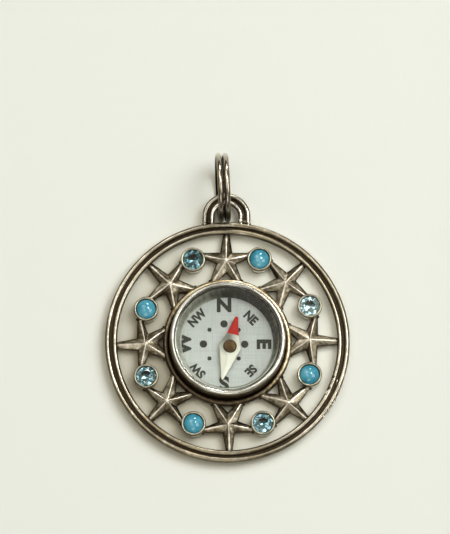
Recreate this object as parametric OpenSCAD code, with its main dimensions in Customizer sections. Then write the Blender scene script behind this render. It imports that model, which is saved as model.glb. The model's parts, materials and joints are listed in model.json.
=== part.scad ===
// Compass pendant: a pierced silver wheel of stars and gem bezels round a small working compass.
// It lies face up. The origin is the centre of the case's flat back, +Y points to the bail loop.

/* [Outer ring] */
// Outside radius of the grooved ring
ring_r = 18.97; // [18.6:0.01:19.2]
// Radius of each of the ring's two round ridges
ridge_r = 0.42; // [0.36:0.01:0.44]
// Distance between the crests of the two ridges
ridge_gap = 1.09; // [1.0:0.01:1.2]
// Height of the ring's underside
ring_low = 1.0; // [0.8:0.05:1.1]
// Height of the ring's crests
ring_top = 2.6; // [2.5:0.05:2.8]

/* [Bail loop] */
// Outside radius of the loop's round end
loop_r = 3.75; // [3.6:0.01:3.9]
// Height of the loop's round centre above the middle of the pendant
loop_y = 19.87; // [19.6:0.01:20.1]
// Sideways place of the loop
loop_x = -0.15; // [-0.3:0.01:0.3]

/* [Double jump ring] */
// Outside radius of each jump ring
jump_r = 5.44; // [5.3:0.01:5.55]
// Diameter of the jump ring wire
jump_wire = 0.88; // [0.8:0.01:0.9]
// Sideways turn of the standing rings, in degrees
jump_turn = 2.9; // [0:0.1:5]

/* [Compass case] */
// Outside radius of the seat ring round the case
seat_r = 10; // [9.9:0.05:10.1]
// Outside radius of the bright rim
rim_r = 8.93; // [8.9:0.01:8.95]
// Height of the rim's crest
rim_top = 5.32; // [5.25:0.01:5.4]
// Radius of the dial
dial_r = 7.1; // [7:0.01:7.12]
// Height of the dial's printed face
dial_top = 1.45; // [1.4:0.01:1.5]

/* [Needle] */
// Length of the needle's red half
needle_red = 4.9; // [4.6:0.1:5.0]
// Length of the needle's pale half
needle_pale = 5.4; // [5.0:0.1:5.5]
// Width of the needle at its pivot
needle_w = 3.4; // [3:0.1:3.6]
// Direction of the red half, in degrees clockwise from +Y
needle_turn = 12.8; // [0:0.1:360]

/* [Stones] */
// Radius of every stone at its girdle
stone_r = 1.5; // [1.45:0.01:1.5]
// Outside radius of the bezel cups
cup_r = 1.9; // [1.85:0.01:1.95]
// Height of the bezel rims
cup_top = 2.95; // [2.9:0.01:3.0]

/* [Stars] */
// Distance from a star's middle to the notches between its arms
notch_r = 1.62; // [1.5:0.01:1.7]
// Height of a star's apex
star_top = 2.35; // [2.2:0.05:2.5]

/* [Hidden] */
$fn = 96;
gap = 0.05;       // clearance between neighbouring pieces
seam = 0.01;      // the least that a cut runs past the face it cuts

// Ring section
band_r = ring_r - ridge_r - ridge_gap / 2;    // middle of the ring's width
ring_r_in = band_r - ridge_gap / 2 - ridge_r;
band_half = 0.8;                              // half width of the band under the ridges
band_top = 1.9;                               // floor of the groove

// Loop section: the same pair of ridges on a thinner band, a little lower than the ring's
loop_ridge_r = 0.4;
loop_ridge_z = 2.12;
loop_band_half = 0.72;
loop_band_low = 1.55;
loop_band_top = 1.95;
loop_mid_r = loop_r - loop_ridge_r - ridge_gap / 2;

// Jump rings stand on edge, side by side
jump_y = 23.73;
jump_x = [-1.33, -0.28];

// Seat and case
back_r = 9.6;
back_chamfer = 0.1;
back_h = 0.7;          // thickness of the closed back
seat_w = 1.0;
seat_side = 1.6;       // height at which the seat ring's side turns into its round top
wall_r = 9.0;
wall_in = 8.65;
wall_top = 4.5;
case_r = wall_in - gap;
rim_bead = 0.37;
bead_z = rim_top - rim_bead;
glass_r = 8.15;
glass_h = 0.4;
glass_low = 4.5;
cone_top_r = 7.95;
cone_low_r = dial_r + gap;

// Dial, pivot and needle
dial_h = 0.4;
pivot = [0.38, -0.83];
pin_r = 0.3;
pin_fit = 0.06;        // radial clearance of the cap on the pin
pin_top = 2.8;
plate_low = 2.35;
plate_h = 0.15;
boss_r = 0.6;
boss_low = 2.1;
cap_r = 1.05;
cap_low = 2.53;
cap_side = 0.3;
cap_dome = 0.25;
red_tip_r = 0.28;
waist = [0.93, 1.95];  // half width of the red half's waist and its distance from the pivot
pale_tip_r = 0.16;

// Cups and stones
cup_low = 1.0;
bead_r = 0.2;          // round bead along a bezel's rim
stone_fit = 0.06;      // clearance of a stone in its cup
cup_in = stone_r + stone_fit;
bead_mid = cup_r - bead_r + 0.02;    // the bead stands a hair proud of the cup's wall
cup_seat = 2.35;       // height at which the cup's wall steps in under a stone
cup_step = 0.15;       // width of that step
cup_floor = 0.25;
cup_cone_r = 0.3;      // radius of the cone's flat bottom
girdle_z = 2.51;
girdle_h = 0.06;
crown_h = 0.44;
table_r = 0.86;
star_facet_r = 1.2;
pavilion_h = 1.18;
lower_facet_r = 0.62;
facets = 8;
stone_turn = 17;       // each cut stone sits turned by this much more than the last
cabochon_low = 2.0;
cabochon_top = 3.3;
dome_r = 1.9;

// Stars: clockwise from the bail, each with the direction and distance of its middle and its own turn
//            direction  distance  turn
STARS = [
              [ -0.8,     12.95,    1.5],
              [ 43.5,     13.15,    0.5],
              [ 88.2,     12.75,    4.0],
              [135.2,     13.35,   -3.5],
              [179.3,     12.95,   -1.5],
              [224.8,     13.15,   -1.5],
              [268.6,     12.65,   -2.5],
              [315.6,     12.75,   -2.0]];
// Bezel cups: clockwise from the bail, topaz and turquoise in turn
//            direction  distance
CUPS = [
              [ 20.9,     13.95],
              [ 66.2,     13.95],
              [112.3,     13.70],
              [156.9,     13.95],
              [202.0,     14.00],
              [246.0,     13.75],
              [291.6,     13.55],
              [337.4,     13.95]];
TURQUOISE = [0, 2, 4, 6];
TOPAZ = [1, 3, 5, 7];
star_low = 1.05;
star_edge = 1.65;      // height of the outline from which a star's facets rise
inner_notch_r = 1.95;  // the notch over the case is shallower
arm_reach = 3.9;       // how far an arm goes before it is led to its neighbour
arm_sink = 0.4;        // how far an arm's blunt end runs into what it is soldered to
arm_end_w = [0.92, 0.66, 0.86, 0.86, 0.66];    // width of that end, clockwise from the outward arm

// Point at a distance from the middle, in a direction clockwise from +Y
function polar(r, a) = [r * sin(a), r * cos(a)];

// The point p moved along its line from c to the distance r from c
function at_distance(p, c, r) = c + (p - c) * r / norm(p - c);

// Points of a circle's arc from angle a to b
function arc(c, r, a, b, n) = [for (i = [0:n]) c + r * [cos(a + (b - a) * i / n), sin(a + (b - a) * i / n)]];

// Middle of the end of a star's arm: out to the ring, sideways to the cups beside it, in to the seat ring
function arm_end(i, k) =
    let (s = STARS[i], p = polar(s[1], s[0]) + polar(arm_reach, s[0] + s[2] + 72 * k),
         after = polar(CUPS[i][1], CUPS[i][0]), before = polar(CUPS[(i + 7) % 8][1], CUPS[(i + 7) % 8][0]))
    k == 0 ? at_distance(p, [0, 0], ring_r_in + arm_sink) :
    k == 1 ? at_distance(p, after, cup_r - arm_sink) :
    k == 4 ? at_distance(p, before, cup_r - arm_sink) :
    at_distance(p, [0, 0], seat_r - arm_sink);

function star_notch(i, k) =
    let (s = STARS[i])
    polar(s[1], s[0]) + polar(k == 2 ? inner_notch_r : notch_r, s[0] + s[2] + 72 * k + 36);

// One arm of a star, clockwise: corner, end of the ridge, corner and the notch that follows, with their heights.
// The ridge falls as if it met the arm's two edges at one point, so that each side of the arm is nearly flat.
function star_arm(i, k) =
    let (mid = polar(STARS[i][1], STARS[i][0]), end = arm_end(i, k), reach = norm(end - mid),
         ahead = (end - mid) / reach, aside = [ahead[1], -ahead[0]], half = arm_end_w[k] / 2,
         meet = reach + half * (reach - notch_r * cos(36)) / (notch_r * sin(36) - half))
    [concat(end - aside * half, star_edge),
     concat(end, star_edge + (star_top - star_edge) * (1 - reach / meet)),
     concat(end + aside * half, star_edge),
     concat(star_notch(i, k), star_edge)];

// Ten planes that meet in five ridges and five valleys, over upright sides
module star(i) {
    mid = polar(STARS[i][1], STARS[i][0]);
    outline = [for (k = [0:4]) for (p = star_arm(i, k)) p];
    n = len(outline);
    points = concat([[mid[0], mid[1], star_top], [mid[0], mid[1], star_low]],
                    outline,
                    [for (p = outline) [p[0], p[1], star_low]]);
    faces = [for (j = [0:n - 1]) let (t = 2 + j, u = 2 + (j + 1) % n)
             for (f = [[0, t, u], [t, t + n, u], [u, t + n, u + n], [1, u + n, t + n]]) f];
    polyhedron(points, faces);
}

module ridge(r, z, tube) {
    translate([0, 0, z]) rotate_extrude() translate([r, 0]) circle(r = tube);
}

module outer_ring() {
    rotate_extrude() translate([band_r - band_half, ring_low]) square([2 * band_half, band_top - ring_low]);
    for (side = [-1, 1]) ridge(band_r + side * ridge_gap / 2, ring_top - ridge_r, ridge_r);
}

// The loop's section, standing at the distance of the band's middle
module loop_section() {
    translate([loop_mid_r - loop_band_half, loop_band_low])
        square([2 * loop_band_half, loop_band_top - loop_band_low]);
    for (side = [-1, 1])
        translate([loop_mid_r + side * ridge_gap / 2, loop_ridge_z]) circle(r = loop_ridge_r);
}

module bail_loop() {
    leg = loop_y - band_r;
    difference() {
        translate([loop_x, loop_y, 0]) {
            rotate_extrude(angle = 180) loop_section();
            for (side = [0, 1]) mirror([side, 0, 0]) rotate([90, 0, 0]) linear_extrude(leg) loop_section();
        }
        cylinder(r = ring_r - ridge_r, h = 2 * ring_top);
    }
}

module cup_body(i) {
    translate(concat(polar(CUPS[i][1], CUPS[i][0]), 0)) {
        translate([0, 0, cup_low]) cylinder(r = cup_r, h = cup_top - bead_r - cup_low);
        ridge(bead_mid, cup_top - bead_r, bead_r);
    }
}

// The space in a cup: straight over the seat, then a cone for a cut stone or a flat floor for a cabochon
module cup_hollow(i, cut_stone) {
    translate(concat(polar(CUPS[i][1], CUPS[i][0]), 0)) {
        if (cut_stone) {
            floor_z = cup_low + cup_floor;
            translate([0, 0, cup_seat]) cylinder(r = cup_in, h = cup_top);
            translate([0, 0, floor_z])
                cylinder(r1 = cup_cone_r, r2 = stone_r - cup_step, h = cup_seat - floor_z + seam);
        } else {
            translate([0, 0, cabochon_low - gap]) cylinder(r = cup_in, h = cup_top);
        }
    }
}

// The cup that holds the compass: closed back, round-topped seat ring and thin dark wall
module case_cup() {
    top = arc([seat_r - seat_w / 2, seat_side], seat_w / 2, 0, 180, 10);
    rotate_extrude() polygon(concat(
        [[0, 0], [back_r - back_chamfer, 0], [back_r, back_chamfer], [back_r, back_h], [seat_r, back_h]],
        top,
        [[wall_r, wall_top], [wall_in, wall_top], [wall_in, back_h], [0, back_h]]));
}

module frame() {
    color("#8f877a") difference() {
        union() {
            outer_ring();
            bail_loop();
            case_cup();
            for (i = [0:7]) star(i);
            for (i = [0:7]) cup_body(i);
        }
        for (i = TURQUOISE) cup_hollow(i, false);
        for (i = TOPAZ) cup_hollow(i, true);
    }
}

// The capsule: floor, conical wall inside, and the bright rim that holds the glass
module compass_case() {
    low = back_h + gap;
    floor_top = dial_top - dial_h - gap;
    glass_seat = glass_low - gap;
    color("#d9d9d6") difference() {
        union() {
            translate([0, 0, low]) cylinder(r = case_r, h = bead_z - low);
            ridge(rim_r - rim_bead, bead_z, rim_bead);
        }
        translate([0, 0, floor_top]) cylinder(r = cone_low_r, h = dial_top - floor_top + seam);
        translate([0, 0, dial_top])
            cylinder(r1 = cone_low_r, r2 = cone_top_r, h = glass_seat - dial_top + seam);
        translate([0, 0, glass_seat]) cylinder(r = glass_r + gap, h = rim_top);
    }
}

module dial() {
    color("#c3c8c9") difference() {
        translate([0, 0, dial_top - dial_h]) cylinder(r = dial_r, h = dial_h);
        translate(concat(pivot, 0)) cylinder(r = pin_r + pin_fit, h = 2 * dial_top);
    }
}

module pivot_pin() {
    point_h = 0.2;
    low = dial_top - dial_h - gap / 2;
    color("#b9bcc0") translate(concat(pivot, 0)) {
        translate([0, 0, low]) cylinder(r = pin_r, h = pin_top - point_h - low);
        translate([0, 0, pin_top - point_h]) cylinder(r1 = pin_r, r2 = pin_r / 3, h = point_h);
    }
}

// A lozenge with rounded tips, widest at the pivot, its red half slightly waisted; along +Y before it is turned
module needle() {
    outline = concat([[needle_w / 2, 0], waist], arc([0, needle_red - red_tip_r], red_tip_r, 0, 180, 8),
                     [[-waist[0], waist[1]], [-needle_w / 2, 0]],
                     arc([0, pale_tip_r - needle_pale], pale_tip_r, 180, 360, 6));
    color("#f1efe0") translate(concat(pivot, plate_low)) rotate([0, 0, -needle_turn]) difference() {
        linear_extrude(plate_h) polygon(outline);
        translate([0, 0, -plate_h]) cylinder(r = boss_r + gap / 2, h = 3 * plate_h);
    }
}

// The brass cap that carries the needle on the pin: boss, round head and blind bore
module needle_cap() {
    dome = (cap_r * cap_r + cap_dome * cap_dome) / (2 * cap_dome);
    color("#6b4f2a") translate(concat(pivot, 0)) difference() {
        union() {
            translate([0, 0, boss_low]) cylinder(r = boss_r, h = cap_low - boss_low + seam);
            intersection() {
                translate([0, 0, cap_low]) cylinder(r = cap_r, h = cap_side + cap_dome);
                translate([0, 0, cap_low + cap_side + cap_dome - dome]) sphere(r = dome);
            }
        }
        translate([0, 0, boss_low - seam]) cylinder(r = pin_r + pin_fit, h = pin_top + gap - boss_low + seam);
    }
}

module glass() {
    color("#dfe8ea", 0.3) translate([0, 0, glass_low]) cylinder(r = glass_r, h = glass_h);
}

module turquoise(n) {
    i = TURQUOISE[n - 1];
    color("#55adc9") translate(concat(polar(CUPS[i][1], CUPS[i][0]), 0)) intersection() {
        translate([0, 0, cabochon_low]) cylinder(r = stone_r, h = cup_top);
        translate([0, 0, cabochon_top - dome_r]) sphere(r = dome_r);
    }
}

// A round brilliant: table, star, kite and girdle facets above, main and half facets below
module topaz(n) {
    i = TOPAZ[n - 1];
    step = 360 / facets;
    girdle_top = girdle_z + girdle_h;
    half = cos(step / 2);
    // the kites and the mains are flat, so their side corners lie on the line through their ends
    star_z = girdle_top + crown_h * (stone_r - star_facet_r * half) / (stone_r - table_r);
    lower_z = girdle_z - pavilion_h * (stone_r - lower_facet_r * half) / stone_r;
    table = [for (k = [0:facets - 1]) concat(polar(table_r, k * step), girdle_top + crown_h)];
    stars = [for (k = [0:facets - 1]) concat(polar(star_facet_r, (k + 0.5) * step), star_z)];
    upper = [for (k = [0:2 * facets - 1]) concat(polar(stone_r, k * step / 2), girdle_top)];
    under = [for (k = [0:2 * facets - 1]) concat(polar(stone_r, k * step / 2), girdle_z)];
    lower = [for (k = [0:facets - 1]) concat(polar(lower_facet_r, (k + 0.5) * step), lower_z)];
    culet = [[0, 0, girdle_z - pavilion_h]];
    // where each ring of corners starts in the list of points, and the corner k of a ring, going round
    on_table = 0;
    on_stars = facets;
    on_upper = 2 * facets;
    on_under = 4 * facets;
    on_lower = 6 * facets;
    at_culet = 7 * facets;
    function at(ring, k) =
        ring + (k + 2 * facets) % (ring == on_upper || ring == on_under ? 2 * facets : facets);
    crown = [for (k = [0:facets - 1]) for (f = [
        [at(on_table, k), at(on_stars, k), at(on_table, k + 1)],
        [at(on_table, k), at(on_stars, k - 1), at(on_upper, 2 * k), at(on_stars, k)],
        [at(on_stars, k), at(on_upper, 2 * k), at(on_upper, 2 * k + 1)],
        [at(on_stars, k), at(on_upper, 2 * k + 1), at(on_upper, 2 * k + 2)]]) f];
    girdle = [for (j = [0:2 * facets - 1])
        [at(on_upper, j + 1), at(on_upper, j), at(on_under, j), at(on_under, j + 1)]];
    pavilion = [for (k = [0:facets - 1]) for (f = [
        [at_culet, at(on_lower, k), at(on_under, 2 * k), at(on_lower, k - 1)],
        [at(on_lower, k), at(on_under, 2 * k + 1), at(on_under, 2 * k)],
        [at(on_lower, k), at(on_under, 2 * k + 2), at(on_under, 2 * k + 1)]]) f];
    color("#a9d3e6") translate(concat(polar(CUPS[i][1], CUPS[i][0]), 0)) rotate([0, 0, stone_turn * n])
        polyhedron(concat(table, stars, upper, under, lower, culet),
                   concat([[for (k = [0:facets - 1]) k]], crown, girdle, pavilion));
}

module jump_ring(n) {
    color("#a8a49a") translate([jump_x[n - 1], jump_y, jump_r]) rotate([0, 0, jump_turn]) rotate([0, 90, 0])
        ridge(jump_r - jump_wire / 2, 0, jump_wire / 2);
}

frame();
compass_case();
dial();
pivot_pin();
needle();
needle_cap();
glass();
for (n = [1:4]) turquoise(n);
for (n = [1:4]) topaz(n);
for (n = [1:2]) jump_ring(n);
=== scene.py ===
import json
import math
from functools import partial

import bpy
import numpy as np
from mathutils import Matrix, Vector


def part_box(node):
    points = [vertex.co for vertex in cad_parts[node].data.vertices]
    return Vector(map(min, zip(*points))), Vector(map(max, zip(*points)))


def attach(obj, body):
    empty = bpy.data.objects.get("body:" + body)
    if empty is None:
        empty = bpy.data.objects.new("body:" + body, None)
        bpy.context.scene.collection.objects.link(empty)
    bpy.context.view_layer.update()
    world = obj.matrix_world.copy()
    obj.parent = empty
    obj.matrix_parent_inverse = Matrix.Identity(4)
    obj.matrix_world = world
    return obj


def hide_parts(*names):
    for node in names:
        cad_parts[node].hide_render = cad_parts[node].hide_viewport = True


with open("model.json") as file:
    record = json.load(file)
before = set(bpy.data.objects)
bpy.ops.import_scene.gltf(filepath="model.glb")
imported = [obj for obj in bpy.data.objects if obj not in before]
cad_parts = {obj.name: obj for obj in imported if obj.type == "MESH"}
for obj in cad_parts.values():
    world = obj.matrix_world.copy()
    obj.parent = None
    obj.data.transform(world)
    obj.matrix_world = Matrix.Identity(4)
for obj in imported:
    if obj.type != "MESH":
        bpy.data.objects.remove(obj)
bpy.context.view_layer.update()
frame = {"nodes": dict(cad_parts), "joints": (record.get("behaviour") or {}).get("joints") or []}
nodes = frame["nodes"]
mm = 0.001

# Sizes below are millimetres and degrees; directions run clockwise from the bail, seen from above.
starPlaces = [
    # direction, distance, turn
    (-0.8, 12.95, 1.5),
    (43.5, 13.15, 0.5),
    (88.2, 12.75, 4.0),
    (135.2, 13.35, -3.5),
    (179.3, 12.95, -1.5),
    (224.8, 13.15, -1.5),
    (268.6, 12.65, -2.5),
    (315.6, 12.75, -2.0),
]
cupPlaces = [
    # direction, distance, node that it holds
    (20.9, 13.95, "turquoise_1"),
    (66.2, 13.95, "topaz_1"),
    (112.3, 13.70, "turquoise_2"),
    (156.9, 13.95, "topaz_2"),
    (202.0, 14.00, "turquoise_3"),
    (246.0, 13.75, "topaz_3"),
    (291.6, 13.55, "turquoise_4"),
    (337.4, 13.95, "topaz_4"),
]


# Shapes: a form is points, quads and triangles, joined and turned outwards before it becomes a mesh.

def polar(distance, direction):
    # x and y that far from the middle, in that direction
    a = np.radians(direction)
    return np.stack([distance * np.sin(a), distance * np.cos(a)], axis=-1)


def turnedClockwise(points, direction):
    # The points turned about the vertical axis, seen from above
    a = math.radians(direction)
    matrix = np.array([[math.cos(a), math.sin(a), 0], [-math.sin(a), math.cos(a), 0], [0, 0, 1]])
    return points @ matrix.T


def facing(points, direction):
    # Cosine of the angle, seen from above, between each point's own direction and the one given
    return np.cos(np.arctan2(points[:, 0], points[:, 1]) - np.radians(direction))


def swell(x, middle, width):
    # A bell curve: e to the minus square of the distance from its middle, in widths
    return np.exp(-((x - middle) / width) ** 2)


def arcPoints(centre, radius, fromAngle, toAngle, count):
    # Points at even angles on a circle, counter-clockwise from +x
    a = np.radians(np.linspace(fromAngle, toAngle, count))
    return np.stack([centre[0] + radius * np.cos(a), centre[1] + radius * np.sin(a)], axis=-1)


def softened(line, step, width, closed=True):
    # The line resampled every step, each point then averaged with its neighbours over width, so that corners
    # round off
    line = np.asarray(line, float)
    if closed:
        line = np.vstack([line, line[:1]])
    along = np.concatenate([[0], np.cumsum(np.linalg.norm(np.diff(line, axis=0), axis=1))])
    count = max(8, int(round(along[-1] / step)))
    at = np.linspace(0, along[-1], count + 1)
    even = np.stack([np.interp(at, along, line[:, k]) for k in range(line.shape[1])], axis=-1)
    reach = max(1, int(round(width / step / 2)))
    if closed:
        even = even[:-1]
        return np.mean([np.roll(even, k, axis=0) for k in range(-reach, reach + 1)], axis=0)
    # past its ends the line is carried on point-mirrored, so that the ends stay where they are
    before = 2 * even[0] - even[reach:0:-1]
    after = 2 * even[-1] - even[-2:-reach - 2:-1]
    longer = np.vstack([before, even, after])
    return np.mean([longer[k:k + len(even)] for k in range(2 * reach + 1)], axis=0)


def waves(angle, seed, count=4):
    # A smooth ripple between about -1 and 1 round a circle: a few cosines with seeded phases
    random = np.random.default_rng(seed)
    turns = random.integers(2, 9, count)
    phases = random.uniform(0, 2 * np.pi, count)
    return sum(np.cos(t * angle + p) for t, p in zip(turns, phases)) / count ** 0.5


def leftOf(line):
    # Unit normals on the left of a closed line: along it from the point before to the one after, turned
    along = np.roll(line, -1, axis=0) - np.roll(line, 1, axis=0)
    return np.stack([-along[:, 1], along[:, 0]], axis=-1) / np.linalg.norm(along, axis=1)[:, None]


def gridForm(grid, closeRows=False, first=None, last=None):
    # Rows of points, each a ring, joined to quads; first and last are single points that close the end rows
    rows, cols = grid.shape[:2]
    i = np.arange(rows if closeRows else rows - 1)[:, None]
    j = np.arange(cols)[None, :]
    iNext, jNext = (i + 1) % rows, (j + 1) % cols
    corners = [i * cols + j, i * cols + jNext, iNext * cols + jNext, iNext * cols + j]
    quads = np.stack(np.broadcast_arrays(*corners), axis=-1).reshape(-1, 4)
    points, triangles = grid.reshape(-1, 3), []
    ring = np.arange(cols)
    following = np.roll(ring, -1)
    if first is not None:
        triangles.append(np.stack([np.full(cols, len(points)), following, ring], axis=-1))
        points = np.vstack([points, first])
    if last is not None:
        end = (rows - 1) * cols
        triangles.append(np.stack([end + ring, end + following, np.full(cols, len(points))], axis=-1))
        points = np.vstack([points, last])
    triangles = np.vstack(triangles) if triangles else np.zeros((0, 3), int)
    return outward(points, quads, triangles)


def outward(points, quads, triangles):
    # Turns every face round if the volume that they shut in comes out negative
    halves = np.vstack([quads[:, [0, 1, 2]], quads[:, [0, 2, 3]], triangles])
    a, b, c = (points[halves[:, k]] for k in range(3))
    if np.einsum("ij,ij->i", a, np.cross(b, c)).sum() < 0:
        quads, triangles = quads[:, ::-1], triangles[:, ::-1]
    return points, quads, triangles


def joined(forms):
    # Several forms as one
    points, quads, triangles, start = [], [], [], 0
    for p, q, t in forms:
        points.append(p)
        quads.append(q + start)
        triangles.append(t + start)
        start += len(p)
    return np.vstack(points), np.vstack(quads), np.vstack(triangles)


def lathe(profile, sections, centre=(0, 0), rimWave=None):
    # A profile of (r, z) points turned round a vertical axis; an end of it on the axis closes in a pole
    profile = np.asarray(profile, float)
    angle = np.linspace(0, 2 * np.pi, sections, endpoint=False)
    onAxis = profile[:, 0] < 1e-6
    body = profile[~onAxis]
    r = np.repeat(body[:, :1], sections, axis=1)
    z = np.repeat(body[:, 1:], sections, axis=1)
    if rimWave is not None:
        r, z = rimWave(r, z, angle[None, :])
    grid = np.stack([centre[0] + r * np.cos(angle), centre[1] + r * np.sin(angle), z], axis=-1)
    poles = [np.array([*centre, profile[k, 1]]) if onAxis[k] else None for k in (0, -1)]
    return gridForm(grid, closeRows=not onAxis.any(), first=poles[0], last=poles[1])


ball = lathe(arcPoints((0, 0), 1, -90, 90, 12), 20)


def lumpForm(place, sizes, direction=0):
    # A ball stretched to its half sizes along x, y and z, turned and put in its place
    return turnedClockwise(ball[0] * sizes, direction) + place, ball[1], ball[2]


def addObject(name, data):
    made = bpy.data.objects.new(name, data)
    bpy.context.scene.collection.objects.link(made)
    return made


def addPiece(name, form, material, body, replaces=(), wearAndShading=None):
    points, quads, triangles = form
    mesh = bpy.data.meshes.new(name)
    mesh.from_pydata((points * mm).tolist(), [], quads.tolist() + triangles.tolist())
    mesh.shade_smooth()
    if wearAndShading is not None:
        attribute = mesh.attributes.new("wearAndShading", "FLOAT", "POINT")
        attribute.data.foreach_set("value", np.asarray(wearAndShading, np.float32))
    mesh.materials.append(material)
    piece = addObject(name, mesh)
    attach(piece, body)
    if replaces:
        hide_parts(*replaces)


# Materials

def linearColour(code):
    # An sRGB hex colour as the linear red, green, blue and alpha of a shader socket
    parts = [int(code[k:k + 2], 16) / 255 for k in (1, 3, 5)]
    return [c / 12.92 if c <= 0.04045 else ((c + 0.055) / 1.055) ** 2.4 for c in parts] + [1.0]


def addNode(tree, kind, inputs=(), output=0, stops=(), **settings):
    # One node with its settings and colour stops; inputs go in order, or by name or number, each a value or
    # the socket that it takes. What comes back is the output socket asked for.
    made = tree.nodes.new(kind)
    for key, value in settings.items():
        setattr(made, key, value)
    for k, (at, colour) in enumerate(stops):
        stop = made.color_ramp.elements[k] if k < 2 else made.color_ramp.elements.new(at)
        stop.position = at
        stop.color = linearColour(colour)
    for key, value in inputs.items() if isinstance(inputs, dict) else enumerate(inputs):
        if isinstance(value, bpy.types.NodeSocket):
            tree.links.new(value, made.inputs[key])
        else:
            made.inputs[key].default_value = value
    return made.outputs[output] if made.outputs else None


def newMaterial(name):
    material = bpy.data.materials.new(name)
    material.use_nodes = True
    material.node_tree.nodes.clear()
    return material, partial(addNode, material.node_tree)


def layered(add, look, base, layers):
    # The base colour with others laid over it, each by its share
    colour = linearColour(look[base])
    for share, over in layers:
        colour = add("ShaderNodeMix", {0: share, 6: colour, 7: linearColour(look[over])}, 2, data_type="RGBA")
    return colour


def finished(material, add, inputs):
    # The material, with these inputs of its surface
    add("ShaderNodeOutputMaterial", {"Surface": add("ShaderNodeBsdfPrincipled", inputs)})
    return material


def perMm(size):
    # The texture scale for features of that many millimetres, or that many along each axis
    return (1 / (np.array(size) * mm)).tolist()


def inMetres(sizes):
    return [size * mm for size in sizes]


silverLook = dict(
    patina="#382F22",  # silver sulphide left in the hollows
    worn="#9A927A",  # darkened but handled metal
    bright="#D8CFC0",  # rubbed high spots
    warm="#8A7752",  # thin yellow tarnish
    hollow=0.8,  # reach of the darkening round a joint, mm
    cloud=1.6,  # size of the tarnish clouds, mm
    smudge=0.7,  # size of the dark smudges, mm
    mottle=1.0,  # strength of the smudges and specks
    grain=0.16,  # cast grain, drawn coarser than the real 0.05 mm so that it shows
    relief=0.4,  # strength of that grain
    depth=0.03,  # and its height, mm
    rough=(0.38, 0.24),  # dull in the hollows, polished on the high spots
)


def silverMaterial(name, look):
    # Sterling silver, soldered, dipped dark and rubbed back: brown-black hollows, bright satin crests.
    # The wear attribute runs from -1, where the dip is untouched, to 1, where it is rubbed off; on some
    # pieces it also carries painted highlight above 0 and painted shade below.
    material, add = newMaterial(name)
    mottle = look["mottle"]
    place = add("ShaderNodeTexCoord", output="Object")
    openness = add("ShaderNodeAmbientOcclusion", {"Distance": look["hollow"] * mm}, "AO", samples=8)
    cloud, smudge, grain = (
        add("ShaderNodeTexNoise", {"Vector": place, "Scale": perMm(look[pattern]), "Detail": detail,
                                   "Roughness": roughness})
        for pattern, detail, roughness in (("cloud", 4, 0.5), ("smudge", 5, 0.65), ("grain", 3, 0.5)))
    wearAndShading = add("ShaderNodeAttribute", output="Fac", attribute_name="wearAndShading")
    # tarnish over the handled metal: yellow in clouds, dark in specks and smudges, polished through in places
    yellow = add("ShaderNodeMapRange", [cloud, 0.45, 0.7, 0.0, 0.6])
    speck = add("ShaderNodeMapRange", [grain, 0.55, 0.75, 0.0, 0.5 * mottle])
    smear = add("ShaderNodeMapRange", [smudge, 0.49, 0.62, 0.0, 0.85 * mottle])
    clear = add("ShaderNodeMapRange", [smudge, 0.46, 0.34, 0.0, 0.75 * mottle])
    # the dip stays in corners and wherever wear is below 0, and is rubbed off where it is above; the same
    # mixes paint the highlight and shade that some pieces carry in the attribute
    shut = add("ShaderNodeMapRange", [openness, 0.9, 0.35])
    dipped = add("ShaderNodeMapRange", [wearAndShading, 0.0, -1.0])
    grimy = add("ShaderNodeMath", [shut, dipped], operation="MAXIMUM")
    handledAndLit = add("ShaderNodeMapRange", [cloud, 0.35, 0.62, 0.3, 1.0])
    rubbedAndLit = add("ShaderNodeMath", [wearAndShading, handledAndLit], operation="MULTIPLY", use_clamp=True)
    colour = layered(add, look, "worn", [(yellow, "warm"), (speck, "patina"), (smear, "patina"),
                                         (clear, "bright"), (grimy, "patina"), (rubbedAndLit, "bright")])
    rough = add("ShaderNodeMapRange", [rubbedAndLit, 0.0, 1.0, *look["rough"]])
    bump = add("ShaderNodeBump", {"Height": grain, "Strength": look["relief"],
                                  "Distance": look["depth"] * mm})
    return finished(material, add, {"Base Color": colour, "Metallic": 1.0, "Roughness": rough,
                                    "Normal": bump})


rimLook = dict(silverLook, patina="#2B2A25", worn="#A3A196", bright="#E6E5DB", warm="#9C9078", hollow=0.5,
               cloud=3.0, smudge=9.0, grain=0.2, relief=0.1, rough=(0.3, 0.22))
wireLook = dict(silverLook, patina="#1B1610", worn="#6E6149", warm="#8A7140", hollow=0.5, cloud=4.0,
                smudge=6.0, mottle=0.5, relief=0.04, rough=(0.26, 0.16))
ringLook = dict(silverLook, patina="#40372A", worn="#877E69", bright="#ECE6D6", smudge=2.5, mottle=0.5,
                grain=0.25, relief=0.08, rough=(0.3, 0.14))
loopLook = dict(silverLook, worn="#8F8672", bright="#E8E5DA", mottle=0.7, relief=0.1, rough=(0.3, 0.12))
# its bright colour also serves as the painted golden highlight on the seat ring
caseLook = dict(silverLook, patina="#4A3E30", worn="#7E735C", warm="#8F7A4E", bright="#F0DDB4", hollow=0.6)
# its bright colour serves the rubbed bead and the painted reflection on the bezel walls
cupLook = dict(silverLook, worn="#7D7868", warm="#8D8465", bright="#D0CBB2", hollow=0.5, smudge=3.0,
               mottle=0.6, relief=0.12, rough=(0.34, 0.22))


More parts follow.
